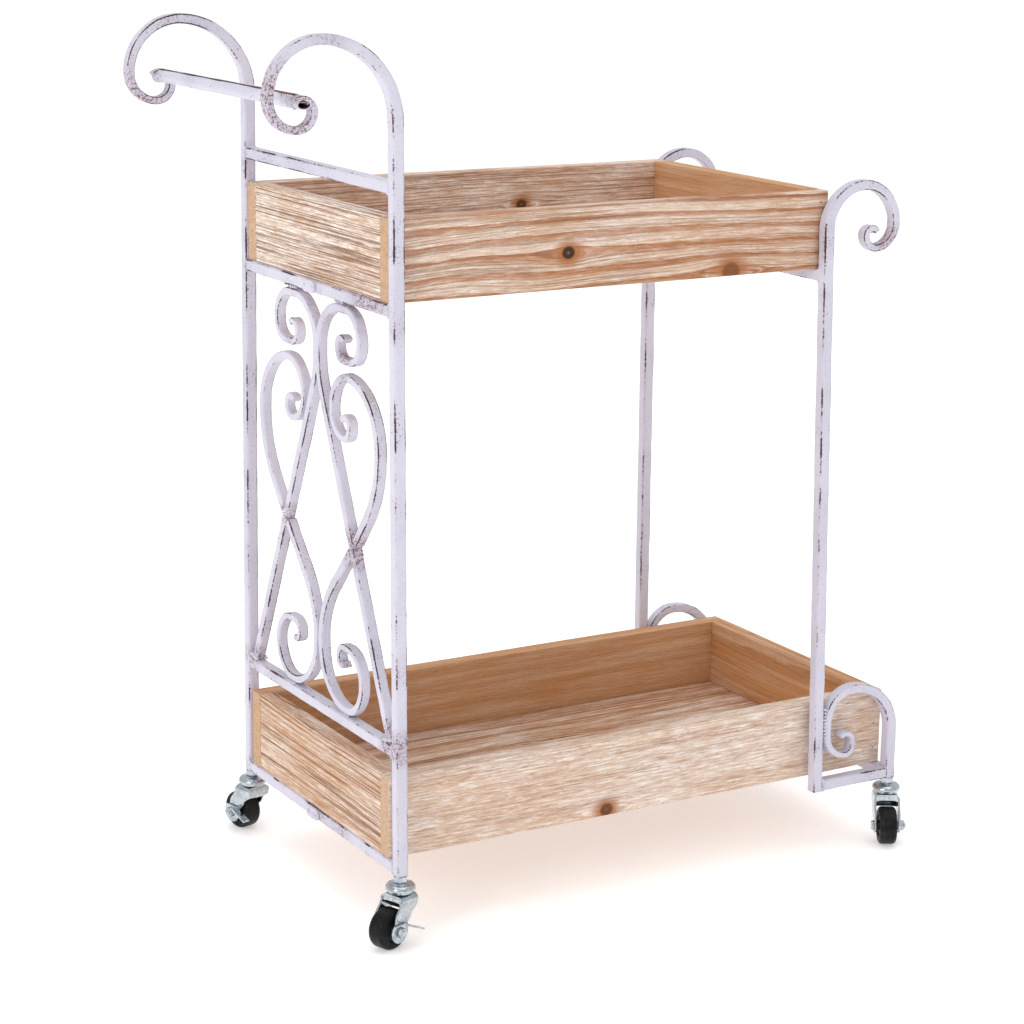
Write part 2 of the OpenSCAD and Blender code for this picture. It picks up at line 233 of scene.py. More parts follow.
def brushed_pine(name, order, knots=()):
    """Brushed softwood: broad rings, torn fibres, saw lines, whitewash and stain.

    order holds the axes along the grain, across it and into the board; each knot is its place along
    and across, its radius and how dark it is. Each board's own attributes say how much of the rest:
    'manner' holds rings, saw lines and whitewash.
    """
    m, b, shader, place = material(name)
    axes = b.split(place)
    along, across, deep = (axes[i] for i in order)
    seed = attribute(b, "board") * 1.37
    rings, saw, wash = b.split(attribute(b, "manner", 1))
    stain = attribute(b, "stain")
    end = attribute(b, "end")

    sway = b.noise(b.join(along * 2.6 + seed * 5.0, across * 9.0 + seed, deep * 9.0 + seed), 1.0, 1.5) - 0.5
    level = across + sway * (rings * 0.045 + 0.003)
    if knots:
        level = level - knot_pull(b, along, across, knots)
    heart = b.single("SINE", seed * 12.9) * 0.02 + 0.012
    rise = along * (b.single("SINE", seed * 7.1) * 0.05) + deep + 0.03
    ring = b.vector("LENGTH", b.join(level - heart, rise, 0.0), (0, 0, 0), 1)
    fibre = b.noise(b.join(along * 44.0 + seed * 3.0, level * 620.0, deep * 620.0), 1.0, 3.0, 0.62)
    hair = b.noise(b.join(along * 150.0, level * 1300.0, deep * 1300.0 + seed), 1.0, 2.0, 0.6)
    streak = b.noise(b.join(along * 4.5 + seed * 9.0, level * 130.0, deep * 130.0), 1.0, 3.0, 0.6)
    patch = b.noise(b.join(along * 9.0 + seed, across * 26.0, deep * 26.0 + seed * 2.0), 1.0, 3.0, 0.6)
    turn = b.single("FRACT", ring * 62.0 + seed + (streak - 0.5) * 0.28 + (fibre - 0.5) * 0.2)
    late = b.step(turn, 0.40, 0.82) * (1 - b.step(turn, 0.90, 0.98))
    band = late * rings
    contour = b.noise(b.join(along * 1.5 + seed * 2.0, level * 270.0, deep * 90.0), 1.0, 2.0, 0.5)
    near_line = b.step(b.single("ABSOLUTE", contour - 0.5), 0.052, 0.014)
    line = near_line * b.step(streak + (patch - 0.5) * 0.6, 0.26, 0.44)

    tone = b.blend(b.step(streak, 0.34, 0.68), SAP, TAN)
    tone = b.blend(wash * 0.2, tone, WASH)
    tone = b.blend(band * 0.92, tone, BAND)
    cloud = b.step(patch * 0.6 + streak * 0.45, 0.42, 0.66)
    tone = b.blend(stain * (cloud * 0.6 + 0.4) * 0.85, tone, STAIN)
    tone = b.blend(stain * wash * b.step(streak, 0.53, 0.70) * 0.7, tone, BROWN)
    torn = b.step(fibre, 0.48, 0.57) * b.step(hair, 0.34, 0.52)
    milk = b.step(patch, 0.62, 0.36)
    tone = b.blend(torn * wash * (1 - band * 0.7) * (milk * 0.4 + 0.45), tone, WASH)
    tone = b.blend(wash * milk * 0.28 * (1 - band * 0.6), tone, WASH)
    slit = b.step(fibre, 0.44, 0.35)
    tone = b.blend(slit * (wash * 0.30 + band * 0.25 + 0.06), tone, BROWN)
    tone = b.blend(b.step(hair, 0.37, 0.27) * 0.4, tone, BROWN)
    tone = b.blend(line * saw * 0.95, tone, BROWN)
    fleck = b.step(b.noise(place, 260.0, 2.0), 0.73, 0.78)
    tone = b.blend(fleck * 0.5, tone, DARK)
    for x, z, r, dark in knots:
        away = b.vector("LENGTH", b.join((along - x) * 0.85, across - z, 0.0), (0, 0, 0), 1)
        away = away + (fibre - 0.5) * 0.0022
        tone = b.blend(b.step(away, r * 2.9, r * 0.8) * 0.92, tone, (0.42, 0.15, 0.045))
        tone = b.blend(b.step(away, r * 1.2, r * 0.85) * 0.85, tone, (0.30, 0.105, 0.035))
        swirl = b.single("SINE", away * 4200.0) * 0.5 + 0.5
        pith = b.step(away, r * 1.05, r * 0.75) * (0.85 + swirl * 0.15)
        tone = b.blend(pith * dark, tone, (0.03, 0.012, 0.007))
        tone = b.blend(b.step(away, r * 0.34, r * 0.08) * 0.35 * dark, tone, (0.36, 0.27, 0.20))
    pores = b.blend(b.step(b.noise(place, 900.0, 3.0), 0.40, 0.60), END_GRAIN, (0.50, 0.30, 0.17))
    tone = b.blend(end * 0.85, tone, pores)
    rub = b.step(fibre, 0.42, 0.60) * 0.7 + (hair - 0.5) * 0.5 + band * 0.3 - line * saw * 0.5
    wire_up(b, shader, tone, 0.78 - band * 0.14 - stain * 0.14, rub, 0.0004)
    shader.inputs["Specular IOR Level"].default_value = 0.3
    return m


def bright_zinc():
    """Bright plate with bluish spangle, dull smears, dark patches of painted reflection and a little yellow
    passivation.
    """
    m, b, shader, place = material("bright zinc plate")
    spangle = b.noise(place, 260.0, 2.0)
    smear = b.noise(b.vector("MULTIPLY", place, (60, 60, 900)), 1.0, 2.0)
    # Painted reflection: these dark bluish patches in the base colour stand in for dark surroundings
    # mirrored in the plate. Roughness also follows them.
    painted_dark_reflection = b.step(b.noise(place, 75.0, 4.0, 0.6), 0.46, 0.66)
    tone = b.blend(b.step(spangle, 0.3, 0.75), (0.55, 0.60, 0.63), (0.40, 0.45, 0.50))
    tone = b.blend(painted_dark_reflection * 0.28, tone, (0.13, 0.16, 0.19))
    tone = b.blend(b.step(b.noise(place, 120.0, 3.0), 0.62, 0.75) * 0.35, tone, (0.42, 0.36, 0.24))
    wire_up(b, shader, tone, 0.12 + spangle * 0.10 + painted_dark_reflection * 0.10, smear + spangle * 0.2, 0.00004)
    shader.inputs["Metallic"].default_value = 1.0
    return m


def screw_steel():
    m, b, shader, place = material("dark screw steel")
    mottle = b.noise(place, 900.0, 3.0)
    tone = b.blend(mottle, (0.10, 0.09, 0.085), (0.28, 0.25, 0.23))
    wire_up(b, shader, tone, 0.35 + mottle * 0.3, mottle, 0.00006)
    shader.inputs["Metallic"].default_value = 0.9
    return m


def black_rubber(name, dark, light, rough):
    m, b, shader, place = material(name)
    dust = b.noise(place, 190.0, 4.0, 0.65)
    film = b.noise(place, 60.0, 2.0)
    tone = b.blend(b.step(dust * 0.6 + film * 0.5, 0.48, 0.72), dark, light)
    wire_up(b, shader, tone, rough + film * 0.16, dust, 0.00008)
    shader.inputs["Specular IOR Level"].default_value = 0.16
    return m


FINISH = {
    "paint": worn_paint(),
    "along": brushed_pine("brushed pine along", (0, 2, 1)),
    "across": brushed_pine("brushed pine across", (1, 2, 0)),
    "floor": brushed_pine("brushed pine floor", (0, 1, 2)),
    "upper front": brushed_pine(
        "brushed pine upper front", (0, 2, 1),
        ((-0.048, 0.6509, 0.0062, 1.0), (0.1382, 0.6205, 0.0088, 0.3)),
    ),
    "upper back": brushed_pine("brushed pine upper back", (0, 2, 1), ((0.0687, 0.6560, 0.0055, 0.8),)),
    "lower front": brushed_pine("brushed pine lower front", (0, 2, 1), ((0.0062, 0.0875, 0.0065, 0.6),)),
    "zinc": bright_zinc(),
    "screw": screw_steel(),
    "rubber": black_rubber("black rubber tread", (0.005, 0.005, 0.006), (0.02, 0.019, 0.02), 0.3),
    "plastic": black_rubber("black hub plastic", (0.010, 0.010, 0.011), (0.024, 0.024, 0.026), 0.3),
}


# ---- making and keeping pieces ---------------------------------------------

def keep(obj, body, slot, *nodes):
    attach(obj, body)
    if nodes:
        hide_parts(*nodes)
    return obj


def new_object(name, mesh, sharp=35):
    obj = bpy.data.objects.new(name, mesh)
    bpy.context.scene.collection.objects.link(obj)
    if sharp:
        mesh.shade_smooth()
        mesh.set_sharp_from_angle(angle=math.radians(sharp))
    return obj


def plain(obj):
    """The object's evaluated shape as a mesh with outward faces, and the object removed."""
    graph = bpy.context.evaluated_depsgraph_get()
    mesh = bpy.data.meshes.new_from_object(obj.evaluated_get(graph))
    old = obj.data
    bpy.data.objects.remove(obj)
    bpy.data.meshes.remove(old)
    bm = bmesh.new()
    bm.from_mesh(mesh)
    bmesh.ops.recalc_face_normals(bm, faces=bm.faces)
    bm.to_mesh(mesh)
    bm.free()
    return mesh


def grow(name, tree, source, values, sharp=35):
    """Runs a node tree on a source mesh and returns the plain result."""
    obj = bpy.data.objects.new("seed", source)
    bpy.context.scene.collection.objects.link(obj)
    mod = obj.modifiers.new("tree", "NODES")
    mod.node_group = tree
    for item in tree.interface.items_tree:
        if item.in_out == "INPUT" and item.name in values:
            mod[item.identifier] = values[item.name]
    bpy.context.view_layer.update()
    mesh = plain(obj)
    return new_object(name, mesh, sharp)


def tree_with(name, inputs):
    tree = bpy.data.node_groups.new(name, "GeometryNodeTree")
    tree.interface.new_socket("Geometry", in_out="INPUT", socket_type="NodeSocketGeometry")
    for label, kind in inputs:
        tree.interface.new_socket(label, in_out="INPUT", socket_type="NodeSocket" + kind)
    tree.interface.new_socket("Geometry", in_out="OUTPUT", socket_type="NodeSocketGeometry")
    b = Bench(tree)
    first = b.node("NodeGroupInput")
    ports = {s.name: Wire(b, s) for s in first.socket.node.outputs if s.name}
    return tree, b, ports


def finish_tree(b, geometry, finish):
    geometry = b.node("GeometryNodeRealizeInstances", None, {"Geometry": geometry})
    geometry = b.node("GeometryNodeSetMaterial", None, {"Geometry": geometry, "Material": finish})
    out = b.tree.nodes.new("NodeGroupOutput")
    b.tree.links.new(geometry.socket, out.inputs[0])


def store(b, geometry, name, kind, value, domain="POINT"):
    return b.node(
        "GeometryNodeStoreNamedAttribute", {"data_type": kind, "domain": domain},
        {"Geometry": geometry, "Name": name, "Value": value},
    )


def named(b, name, kind):
    return b.node("GeometryNodeInputNamedAttribute", {"data_type": kind}, {"Name": name})


def bar_tree():
    """A forged square bar swept along a line of points that carry 'side' and 'slim'."""
    tree, b, port = tree_with(
        "forged bar",
        [("Bar width", "Float"), ("Corner", "Float"), ("Flat side", "Vector"), ("Hammering", "Float"),
         ("Finish", "Material")],
    )
    width = port["Bar width"]
    spine = b.node("GeometryNodeMeshToCurve", None, {"Mesh": port["Geometry"]})
    here = b.node("GeometryNodeInputPosition")
    spine = store(b, spine, "middle", "FLOAT_VECTOR", here)
    section = b.node("GeometryNodeCurvePrimitiveQuadrilateral", None, {"Width": width, "Height": width})
    section = b.node("GeometryNodeSubdivideCurve", None, {"Curve": section, "Cuts": 4})
    section = b.node(
        "GeometryNodeFilletCurve", {"mode": "POLY"},
        {"Curve": section, "Radius": port["Corner"], "Count": 3},
    )
    section = store(b, section, "around", "FLOAT_VECTOR", b.node("GeometryNodeInputPosition"))
    bar = b.node(
        "GeometryNodeCurveToMesh", None, {"Curve": spine, "Profile Curve": section, "Fill Caps": True}
    )
    u, v, _ = b.split(named(b, "around", "FLOAT_VECTOR"))
    half = width * 0.5
    edge = b.least(b.single("ABSOLUTE", u), b.single("ABSOLUTE", v)) / half
    slim = named(b, "slim", "FLOAT")
    side = b.vector("SCALE", named(b, "side", "FLOAT_VECTOR"), (0, 0, 0))
    b.tree.links.new((u * slim).socket, side.socket.node.inputs["Scale"])
    flat = b.vector("SCALE", port["Flat side"], (0, 0, 0))
    b.tree.links.new(v.socket, flat.socket.node.inputs["Scale"])
    spot = b.vector("ADD", b.vector("ADD", named(b, "middle", "FLOAT_VECTOR"), side), flat)
    bar = store(b, bar, "edge", "FLOAT", edge)
    dents = b.node("ShaderNodeTexNoise", None, {"Vector": spot, "Scale": 55.0, "Detail": 2.0}, 1)
    shift = b.vector("SCALE", b.vector("SUBTRACT", dents, (0.5, 0.5, 0.5)), (0, 0, 0))
    b.tree.links.new(port["Hammering"].socket, shift.socket.node.inputs["Scale"])
    bar = b.node("GeometryNodeSetPosition", None, {"Geometry": bar, "Position": spot, "Offset": shift})
    finish_tree(b, bar, port["Finish"])
    return tree


FORGED_BAR = bar_tree()


def walk(moves, start, heading, width, tip, pace=9.0):
    """Points (x, y, heading, width) along straights [length, 0] and arcs [radius, turn]."""
    x, y = start
    h = heading
    points = []
    for size, turn in moves:
        if turn == 0:
            steps = max(1, round(size / pace))
            for k in range(steps):
                points.append((x + size * k / steps * math.cos(math.radians(h)),
                               y + size * k / steps * math.sin(math.radians(h)), h))
            x += size * math.cos(math.radians(h))
            y += size * math.sin(math.radians(h))
        else:
            s = math.copysign(1, turn)
            cx = x - size * s * math.sin(math.radians(h))
            cy = y + size * s * math.cos(math.radians(h))
            steps = max(3, math.ceil(abs(turn) / 5))
            for k in range(steps):
                a = math.radians(h + turn * k / steps)
                points.append((cx + size * s * math.sin(a), cy - size * s * math.cos(a), math.degrees(a)))
            h += turn
            a = math.radians(h)
            x, y = cx + size * s * math.sin(a), cy - size * s * math.cos(a)
    points.append((x, y, h))
    lengths = [0.0]
    for p, q in zip(points, points[1:]):
        lengths.append(lengths[-1] + math.hypot(q[0] - p[0], q[1] - p[1]))
    plain_run = moves[0][0] if moves[0][1] == 0 else 0.0
    rest = max(1e-6, lengths[-1] - plain_run)
    out = []
    for (px, py, ph), run in zip(points, lengths):
        k = max(0.0, run - plain_run) / rest
        out.append((px, py, ph, width + (tip - width) * k))
    return out


# Planes that bars lie in: columns are the plane's first axis, second axis and its flat side
def plane_along(y):
    return Matrix(((1, 0, 0, -MID_X), (0, 0, -1, y), (0, 1, 0, 0), (0, 0, 0, 1)))


def plane_across(x):
    return Matrix(((0, 0, 1, x - MID_X), (1, 0, 0, 0), (0, 1, 0, 0), (0, 0, 0, 1)))


def leaned(side):
    """Leans a post inwards about its foot; side is -1 at the front and 1 at the back."""
    foot = Matrix.Translation((0, side * HALF, BASE_Z))
    return foot @ Matrix.Rotation(side * LEAN, 4, "X") @ foot.inverted()


# Where hands, pots and welding have worn the paint: point, reach and amount
WORN = (
    ((-352, -169, 800), 50, 1.0), ((-300, -169, 855), 42, 0.55), ((-352, 169, 785), 40, 0.8),
    ((-233, -75, 369), 24, 0.8), ((-233, 75, 369), 24, 0.8), ((-233, -150, 200), 24, 0.9),
    ((-233, 150, 200), 24, 0.9), ((-233, 0, 604), 60, 0.5), ((-233, -120, 604), 40, 0.7),
    ((318, -169, 640), 34, 0.7), ((318, 169, 640), 34, 0.6), ((322, -169, 112), 26, 0.9),
    ((322, 169, 112), 26, 0.7), ((-233, -169, 280), 60, 0.4), ((-233, -169, 560), 80, 0.4),
    ((-233, -60, 545), 20, 0.7), ((-233, 60, 545), 20, 0.7), ((-233, -100, 480), 16, 0.7),
    ((-233, 95, 480), 16, 0.7), ((-233, -60, 235), 22, 0.6), ((-233, 60, 235), 22, 0.6),
    ((255, -169, 640), 50, 0.4), ((-233, -60, 70), 60, 0.5),
)


def wear_at(point):
    return max(
        amount * math.exp(-((point - Vector(spot)).length / reach) ** 2)
        for spot, reach, amount in WORN
    )


def bar(name, strands, place, width, *nodes, mirror=False, corner=2.3):
    mesh = bpy.data.meshes.new(name)
    verts, edges, sides, slims = [], [], [], []
    flip = Matrix.Diagonal((1, -1, 1, 1)) if mirror else Matrix.Identity(4)
    turn = (flip @ place).to_3x3()
    for strand in strands:
        first = len(verts)
        for x, y, h, w in strand:
            verts.append(flip @ place @ Vector((x, y, 0)) * MM)
            sides.append(turn @ Vector((-math.sin(math.radians(h)), math.cos(math.radians(h)), 0)))
            slims.append(w / width)
        edges += [(i, i + 1) for i in range(first, len(verts) - 1)]
    mesh.from_pydata(verts, edges, [])
    put_vectors(mesh, "side", sides)
    put_floats(mesh, "slim", slims)
    put_floats(mesh, "rub", [wear_at(Vector(v.co) / MM) for v in mesh.vertices])
    obj = grow(name, FORGED_BAR, mesh, {
        "Bar width": width * MM, "Corner": corner * MM, "Flat side": turn @ Vector((0, 0, 1)),
        "Hammering": 0.0011, "Finish": FINISH["paint"],
    }, 40)
    return keep(obj, "frame", "frame_paint", *nodes)


def put_vectors(mesh, name, values):
    data = mesh.attributes.new(name, "FLOAT_VECTOR", "POINT").data
    data.foreach_set("vector", [c for v in values for c in v])


def put_floats(mesh, name, values, domain="POINT"):
    mesh.attributes.new(name, "FLOAT", domain).data.foreach_set("value", values)


def quarters(radii, s):
    return [(r, 90 * s) for r in radii]


# ---- frame -----------------------------------------------------------------

HANDLE = walk([(712, 0)] + quarters((74, 51, 27, 16, 11), 1) + [(11, 40)], (6, BASE_Z), 90, BAR, 6.2)
END = walk([(586, 0)] + quarters((43, 40, 24, 13, 7), -1) + [(7, -60)],
           (494, BASE_Z), 90 + FAR_LEAN, BAR, 6.5)
LEG = walk([(54, 0), (52, 90), (32, 90), (15, 0), (24, 90), (9, 90), (5, 0), (9, 90), (8, 50)],
           (588, BASE_Z), 90, BAR, 5.5)
FOOT_BAR = walk([(83, 0)], (499.5, BASE_Z + BAR / 2), 0, BAR, BAR)
LONG = walk([(341, 0), (90, -24.4), (6, 0), (45, -90), (14, 0), (29, -90), (20, -90), (14, 0),
             (12, -90), (9, -130)], (151, 198), 114.4, PANEL_BAR, 6.5)
UPPER_DROP = walk([(42, 0), (107, 40), (62, 90), (34, 90), (26, 90), (12, 90), (9, 140)],
                  (75, 369), 50, PANEL_BAR, 6.5)
LOWER_DROP = walk([(70, 0), (90, 42), (55, 90), (33, 90), (30, 90), (7, 0), (12, 90), (7, 120)],
                  (75, 369), 228, PANEL_BAR, 6.5)

for side, end in ((-1, "front"), (1, "back")):
    upright = plane_along(side * (HALF - BAR / 2))
    stand = leaned(side) @ upright
    bar(f"handle_bar_{end}", [HANDLE], stand, BAR, f"handle_post_{end}")
    bar(f"far_bar_{end}", [END], stand, BAR, f"end_post_{end}")
    bar(f"foot_scroll_{end}", [LEG, FOOT_BAR], upright, BAR, f"outrigger_{end}")
    # The drops' first points lie inside the long scroll, so they are left out
    for name, strand, node in (("long", LONG, "scroll"), ("upper", UPPER_DROP[1:], "drop_upper"),
                               ("lower", LOWER_DROP[1:], "drop_lower")):
        bar(f"panel_{name}_{end}", [strand], plane_across(PANEL_X), PANEL_BAR, f"panel_{node}_{end}",
            mirror=side < 0, corner=1.9)

for node in RAILS:
    low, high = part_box(node)
    reach = high.y / MM + 0.6
    strand = walk([(2 * reach, 0)], (-reach, (low.z + high.z) / 2 / MM), 0, BAR, BAR)
    bar(node + "_bar", [strand], plane_across((low.x + high.x) / 2 / MM + MID_X), BAR, node)


# ---- tube, welds and small trim --------------------------------------------

def solid(name, verts, faces, finish, sharp=35, **floats):
    """A closed piece from millimetre points in the object's own frame."""
    mesh = bpy.data.meshes.new(name)
    mesh.from_pydata([Vector(v) * MM for v in verts], [], faces)
    for key, values in floats.items():
        put_floats(mesh, key, values)
    bm = bmesh.new()
    bm.from_mesh(mesh)
    bmesh.ops.recalc_face_normals(bm, faces=bm.faces)
    bm.to_mesh(mesh)
    bm.free()
    mesh.materials.append(FINISH[finish])
    return new_object(name, mesh, sharp)


def handle_tube():
    """Hollow tube, pinched at both ends where the scrolls hold it."""
    low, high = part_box("handle_tube")
    cx, cz = (low.x + high.x) / 2 / MM, (low.z + high.z) / 2 / MM
    end = high.y / MM
    steps, around = 84, 40
    verts, faces, edge, rub = [], [], [], []
    rows = [(k, 1) for k in range(steps + 1)] + [(k, 0) for k in range(steps, -1, -1)]
    for k, outer in rows:
        y = -end + 2 * end * k / steps
        pinch = max(0.0, 1 - (y + end) / 17) ** 1.5 + 0.35 * max(0.0, 1 - (end - y) / 12) ** 1.5
        for j in range(around):
            a = 2 * math.pi * j / around
            wide = (TUBE_R if outer else BORE_R) + pinch * (0.5 if outer else 0.9)
            tall = (TUBE_R if outer else BORE_R) - pinch * (2.3 if outer else 1.5)
            rough = 0.12 * math.sin(5 * a + y * 0.07) if outer else 0
            z = cz - pinch * 2.0 + (tall + rough) * math.sin(a)
            verts.append((cx + (wide + rough) * math.cos(a), y, z))
            edge.append(max(0.0, math.cos(a - 1.9)) ** 10 * 1.06 if outer else 1.3)
            rub.append(max(0.0, 1 - abs(y + end - 32) / 26) * (0.55 + 0.45 * math.sin(a)))
    n = len(rows)
    for i in range(n):
        for j in range(around):
            p, q = i * around, (i + 1) % n * around
            faces.append((p + j, p + (j + 1) % around, q + (j + 1) % around, q + j))
    obj = solid("handle_grip_tube", verts, faces, "paint", 40, edge=edge, rub=rub)
    keep(obj, "frame", "frame_paint", "handle_tube")


handle_tube()


def blob_tree():
    """Lumpy beads on points that carry their own size."""
    tree, b, port = tree_with(
        "weld beads", [("Lumpiness", "Float"), ("Seed", "Int"), ("Finish", "Material")]
    )
    ball = b.node("GeometryNodeMeshIcoSphere", None, {"Radius": 1.0, "Subdivisions": 3})
    turn = b.node(
        "FunctionNodeRandomValue", {"data_type": "FLOAT_VECTOR"},
        {0: (0, 0, 0), 1: (6.28, 6.28, 6.28), "Seed": port["Seed"]},
    )
    beads = b.node(
        "GeometryNodeInstanceOnPoints", None,
        {"Points": port["Geometry"], "Instance": ball, "Rotation": turn,
         "Scale": named(b, "size", "FLOAT_VECTOR")},
    )
    beads = b.node("GeometryNodeRealizeInstances", None, {"Geometry": beads})
    here = b.node("GeometryNodeInputPosition")
    lumps = b.node("ShaderNodeTexNoise", None, {"Vector": here, "Scale": 420.0, "Detail": 2.0}, 1)
    shift = b.vector("SCALE", b.vector("SUBTRACT", lumps, (0.5, 0.5, 0.5)), (0, 0, 0))
    b.tree.links.new(port["Lumpiness"].socket, shift.socket.node.inputs["Scale"])
    beads = b.node("GeometryNodeSetPosition", None, {"Geometry": beads, "Offset": shift})
    finish_tree(b, beads, port["Finish"])
    return tree


BEADS = blob_tree()


def beads(name, spots, lumpiness, finish, body, slot, *nodes):
    """spots are (point in mm, size in mm along X, Y and Z)."""
    mesh = bpy.data.meshes.new(name)
    mesh.from_pydata([Vector(p) * MM for p, _ in spots], [], [])
    put_vectors(mesh, "size", [Vector(s) * MM for _, s in spots])
    put_floats(mesh, "rub", [0.35] * len(spots))
    obj = grow(name, BEADS, mesh, {"Lumpiness": lumpiness * MM, "Seed": 7, "Finish": FINISH[finish]}, 0)
    obj.data.shade_smooth()
    return keep(obj, body, slot, *nodes)


def row(p, q, size, count):
    """Beads of one size along a line from p to q."""
    p, q = Vector(p), Vector(q)
    return [(p.lerp(q, k / max(1, count - 1)), size) for k in range(count)]


def weld_spots():
    """Every weld on the frame: rail ends, panel joints, feet, and the grip tube in its scrolls."""
    spots = []
    for node in RAILS:
        low, high = (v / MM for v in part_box(node))
        for s in (-1, 1):
            y = s * (high.y + 0.2)
            spots += row((low.x + 0.6, y, low.z + 1), (low.x + 0.6, y, high.z - 1), (1.3, 1.7, 1.5), 6)
            spots += row((low.x + 1, y, high.z - 0.3), (high.x - 1, y, high.z - 0.3), (1.5, 1.6, 1.1), 6)
            spots += row((low.x + 1, y, low.z + 0.3), (high.x - 1, y, low.z + 0.3), (1.5, 1.6, 1.1), 5)
    foot, curl, far = 500 - MID_X, 499.4 - MID_X, 582 - MID_X
    for s in (-1, 1):
        for x in (PANEL_X - 5 - MID_X, PANEL_X + 5 - MID_X):
            spots += row((x, s * 79.5, 362), (x, s * 69.5, 377), (1.0, 1.8, 1.8), 5)
            spots += row((x, s * 71, 364), (x, s * 80, 373), (1.0, 1.9, 1.7), 4)
            spots += row((x, s * 144, 198), (x, s * 157, 201), (1.2, 2.3, 1.9), 6)
            spots += row((x, s * 58, 602.6), (x, s * 44, 603.0), (1.0, 2.0, 1.4), 4)
            spots += row((x, s * 66, 197.6), (x, s * 54, 197.6), (1.0, 2.2, 1.4), 4)
        y = s * (HALF - BAR / 2)
        spots += row((foot, y - 5, 81), (foot, y + 5, 81), (1.8, 1.6, 1.6), 5)
        spots += row((foot, y - 6, 70), (foot, y - 6, 80), (1.5, 1.0, 1.5), 5)
        spots += row((foot, y + 6, 70), (foot, y + 6, 80), (1.5, 1.0, 1.5), 5)
        spots += row((curl, y - 5.4, 128), (curl, y - 5.4, 158), (1.3, 1.1, 2.3), 9)
        spots += row((curl, y + 5.0, 128), (curl, y + 5.0, 158), (1.3, 1.1, 2.3), 9)
        spots += row((far, y - 5, 81), (far, y + 5, 81), (1.6, 1.6, 1.6), 4)
    low, high = (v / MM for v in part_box("handle_tube"))
    cx, cz = (low.x + high.x) / 2, (low.z + high.z) / 2
    for s in (-1, 1):
        for k in range(9):
            a = math.radians(60 + 22 * k)
            if s > 0:
                tip = (cx + 5 * math.cos(a), high.y - 3, cz - 1 + 4.6 * math.sin(a))
                spots.append((tip, (2.4, 2.2, 2.4)))
            collar = (cx + 6.2 * math.cos(a), s * (high.y - 12.4), cz - 1 + 5.4 * math.sin(a))
            spots.append((collar, (1.7, 1.5, 1.7)))
    return spots


beads("weld_beads", weld_spots(), 0.9, "paint", "frame", "frame_paint")


def soften(obj, width, segments, angle):
    mod = obj.modifiers.new("edges", "BEVEL")
    mod.width = width * MM
    mod.segments = segments
    mod.limit_method = "ANGLE"
    mod.angle_limit = math.radians(angle)
    mod.harden_normals = False


def softened(name, node, finish, width=0.35, segments=2, angle=28):
    """A copy of a CAD node with its sharp edges broken."""
    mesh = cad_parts[node].data.copy()
    bm = bmesh.new()
    bm.from_mesh(mesh)
    bmesh.ops.remove_doubles(bm, verts=bm.verts, dist=1e-6)
    bmesh.ops.dissolve_limit(bm, angle_limit=math.radians(1), verts=bm.verts, edges=bm.edges)
    bm.to_mesh(mesh)
    bm.free()
    mesh.materials.clear()
    mesh.materials.append(FINISH[finish])
    obj = new_object(name, mesh, 0)
    soften(obj, width, segments, angle)
    bpy.context.view_layer.update()
    return new_object(name, plain(obj), 32)


keep(softened("rail_lugs", "screw_tabs", "paint", 0.9, 3), "frame", "frame_paint", "screw_tabs")
keep(softened("tray_screw_set", "tray_screws", "screw", 0.7, 3), "frame", "screw_steel", "tray_screws")

lug_dots = [((-3 - MID_X, y, z), (1.6, 2.2, 2.2)) for z in (610, 75) for y in (-2.5, 13.5)]
beads("lug_rivets", lug_dots, 0.35, "paint", "frame", "frame_paint")


# ---- trays -----------------------------------------------------------------

def board(node, seed, finish, run, manner, stain):
    """A sawn board with soft edges and faint warp; manner is rings, saw lines and whitewash."""
    low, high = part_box(node)
    size = high - low
    middle = (low + high) / 2
    bm = bmesh.new()
    bmesh.ops.create_cube(bm, size=1.0, matrix=Matrix.Translation(middle) @ Matrix.Diagonal((*size, 1)))
    normal = Vector((0, 0, 0))
    normal[run] = 1
    cuts = max(6, round(size[run] / 0.02))
    for k in range(1, cuts):
        spot = middle.copy()
        spot[run] = low[run] + size[run] * k / cuts
        whole = bm.verts[:] + bm.edges[:] + bm.faces[:]
        bmesh.ops.bisect_plane(bm, geom=whole, plane_co=spot, plane_no=normal)
    sharp = [e for e in bm.edges if e.calc_face_angle(0) > 1]
    bmesh.ops.bevel(bm, geom=sharp, offset=0.0011, segments=3, affect="EDGES", profile=0.6)
    rng = random.Random(seed)
    waves = [(rng.uniform(9, 30), rng.uniform(0, 6.28), rng.uniform(0.00008, 0.00018)) for _ in range(6)]
    for v in bm.verts:
        for axis in range(3):
            if axis == run:
                continue
            away = (v.co[axis] - middle[axis]) / size[axis] * 2
            f, p, a = waves[axis * 2 + (away > 0)]
            v.co[axis] -= away * (a + a * math.sin(v.co[run] * f + p))
    bm.normal_update()
    ends = [1.0 if abs(f.normal[run]) > 0.8 else 0.0 for f in bm.faces]
    mesh = bpy.data.meshes.new(node + "_wood")
    bm.to_mesh(mesh)
    bm.free()
    count = len(mesh.vertices)
    put_floats(mesh, "end", ends, "FACE")
    put_floats(mesh, "board", [float(seed)] * count)
    put_floats(mesh, "stain", [stain] * count)
    put_vectors(mesh, "manner", [manner] * count)
    mesh.materials.append(FINISH[finish])
    return keep(new_object(node + "_wood", mesh, 40), "frame", "pine", node)


